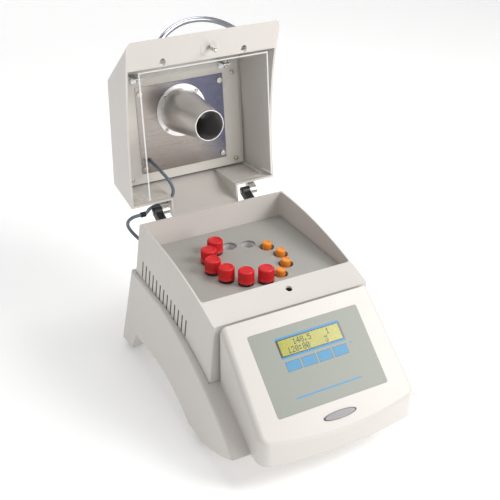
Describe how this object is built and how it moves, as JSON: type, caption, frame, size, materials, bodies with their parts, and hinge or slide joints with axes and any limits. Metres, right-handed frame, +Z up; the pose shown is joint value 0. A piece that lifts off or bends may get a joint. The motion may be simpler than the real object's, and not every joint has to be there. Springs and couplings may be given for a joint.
{
  "type": "dry block heater",
  "caption": "Bench-top dry block heater: ring of wells in a tray, sloping control panel with display and keys, hinged fan-cooled lid with bow handle, shown open.",
  "frame": {"origin": "centre of the bounding box at bench level, under the feet, lid open", "axes": "+X to the right seen from the control panel, +Y to the rear, +Z up"},
  "size_m": [0.2906, 0.5111, 0.4817],
  "materials": {
    "housing_white": "moulded, semi-gloss, warm white",
    "tray_grey": "fine matt coating",
    "label_grey": "matt printed film, grey-green",
    "display_clear": "clear window over a yellow-green display",
    "key_blue": "matt printed film, blue",
    "board_green": "circuit board",
    "display_dark": "dark display frame",
    "badge_silver": "domed silver badge",
    "block_aluminium": "machined",
    "steel": "brushed stainless sheet",
    "fastener_steel": "bright zinc",
    "handle_chrome": "polished",
    "black_rubber": "matt rubber",
    "black_plastic": "fine texture",
    "insulation_wool": "fibre wool",
    "red_cap": "moulded screw cap",
    "orange_cap": "moulded screw cap",
    "guard_clear": "clear polycarbonate",
    "lead_grey": "blue-grey sheath",
    "nickel": "nickel plated"
  },
  "bodies": {
    "base": {"upper_housing": "housing_white", "tray_plate": "tray_grey", "base_shell": "housing_white", "panel_housing": "housing_white", "panel_label": "label_grey", "display_window": "display_clear", "display_module": "display_dark", "key_board": "board_green", "badge": "badge_silver", "main_board": "board_green", "heating_block": "block_aluminium", "heater_ring": "steel", "temperature_sensor": "steel", "insulation_jacket": "insulation_wool", "block_carrier": "steel", "block_standoffs": "steel", "vial_sleeves": "black_plastic", "feet": "black_rubber", "foot_screws": "fastener_steel", "mains_inlet": "black_plastic", "switch_body": "black_plastic", "fuse_holder": "black_plastic", "power_supply": "black_plastic", "lid_lock": "steel", "hinge_base_leaves": "nickel", "hinge_pins": "nickel", "housing_lead": "lead_grey", "lead_grommet": "black_rubber"},
    "lid": {"lid_shell": "housing_white", "lid_liner": "housing_white", "fan_plate": "steel", "air_cone": "steel", "cone_rivets": "fastener_steel", "fan_frame": "black_plastic", "clear_guard": "guard_clear", "guard_brackets": "steel", "lid_screws": "fastener_steel", "handle": "handle_chrome", "handle_screws": "fastener_steel", "latch_pin": "fastener_steel", "hinge_lid_leaves": "nickel", "lid_lead": "lead_grey"},
    "fan": {"fan_rotor": "black_plastic"},
    "rocker": {"switch_rocker": "black_plastic"},
    "key_1_body": {"key_1": "key_blue"},
    "key_2_body": {"key_2": "key_blue"},
    "key_3_body": {"key_3": "key_blue"},
    "key_4_body": {"key_4": "key_blue"},
    "tube_1_body": {"reaction_tube_1": "red_cap"},
    "tube_2_body": {"reaction_tube_2": "red_cap"},
    "tube_3_body": {"reaction_tube_3": "red_cap"},
    "tube_4_body": {"reaction_tube_4": "red_cap"},
    "tube_5_body": {"reaction_tube_5": "red_cap"},
    "tube_6_body": {"reaction_tube_6": "red_cap"},
    "vial_1_body": {"vial_1": "orange_cap"},
    "vial_2_body": {"vial_2": "orange_cap"},
    "vial_3_body": {"vial_3": "orange_cap"},
    "vial_4_body": {"vial_4": "orange_cap"}
  },
  "joints": [
    {"name": "lid_hinge", "type": "hinge", "parent": "base", "child": "lid", "pos_m": [0, 0.1415, 0.21085], "axis": [-1, 0, 0], "range_deg": [-96, 0]},
    {"name": "fan_spin", "type": "hinge", "parent": "lid", "child": "fan", "pos_m": [0, 0.23511, 0.32519], "axis": [0, 0.9945, -0.1045], "continuous": true},
    {"name": "power_rocker", "type": "hinge", "parent": "base", "child": "rocker", "pos_m": [0.022, 0.13139, 0.09187], "axis": [1, 0, 0], "range_deg": [0, 15]},
    {"name": "key_1_press", "type": "slide", "parent": "base", "child": "key_1_body", "axis": [0, 0.6534, -0.757], "range_m": [0, 0.0005], "stiffness_N_per_m": 600, "springref_m": -0.0005},
    {"name": "key_2_press", "type": "slide", "parent": "base", "child": "key_2_body", "axis": [0, 0.6534, -0.757], "range_m": [0, 0.0005], "stiffness_N_per_m": 600, "springref_m": -0.0005},
    {"name": "key_3_press", "type": "slide", "parent": "base", "child": "key_3_body", "axis": [0, 0.6534, -0.757], "range_m": [0, 0.0005], "stiffness_N_per_m": 600, "springref_m": -0.0005},
    {"name": "key_4_press", "type": "slide", "parent": "base", "child": "key_4_body", "axis": [0, 0.6534, -0.757], "range_m": [0, 0.0005], "stiffness_N_per_m": 600, "springref_m": -0.0005},
    {"name": "tube_1_lift", "type": "slide", "parent": "base", "child": "tube_1_body", "axis": [0, 0, 1], "range_m": [0, 0.08]},
    {"name": "tube_2_lift", "type": "slide", "parent": "base", "child": "tube_2_body", "axis": [0, 0, 1], "range_m": [0, 0.08]},
    {"name": "tube_3_lift", "type": "slide", "parent": "base", "child": "tube_3_body", "axis": [0, 0, 1], "range_m": [0, 0.08]},
    {"name": "tube_4_lift", "type": "slide", "parent": "base", "child": "tube_4_body", "axis": [0, 0, 1], "range_m": [0, 0.08]},
    {"name": "tube_5_lift", "type": "slide", "parent": "base", "child": "tube_5_body", "axis": [0, 0, 1], "range_m": [0, 0.08]},
    {"name": "tube_6_lift", "type": "slide", "parent": "base", "child": "tube_6_body", "axis": [0, 0, 1], "range_m": [0, 0.08]},
    {"name": "vial_1_lift", "type": "slide", "parent": "base", "child": "vial_1_body", "axis": [0, 0, 1], "range_m": [0, 0.08]},
    {"name": "vial_2_lift", "type": "slide", "parent": "base", "child": "vial_2_body", "axis": [0, 0, 1], "range_m": [0, 0.08]},
    {"name": "vial_3_lift", "type": "slide", "parent": "base", "child": "vial_3_body", "axis": [0, 0, 1], "range_m": [0, 0.08]},
    {"name": "vial_4_lift", "type": "slide", "parent": "base", "child": "vial_4_body", "axis": [0, 0, 1], "range_m": [0, 0.08]}
  ]
}
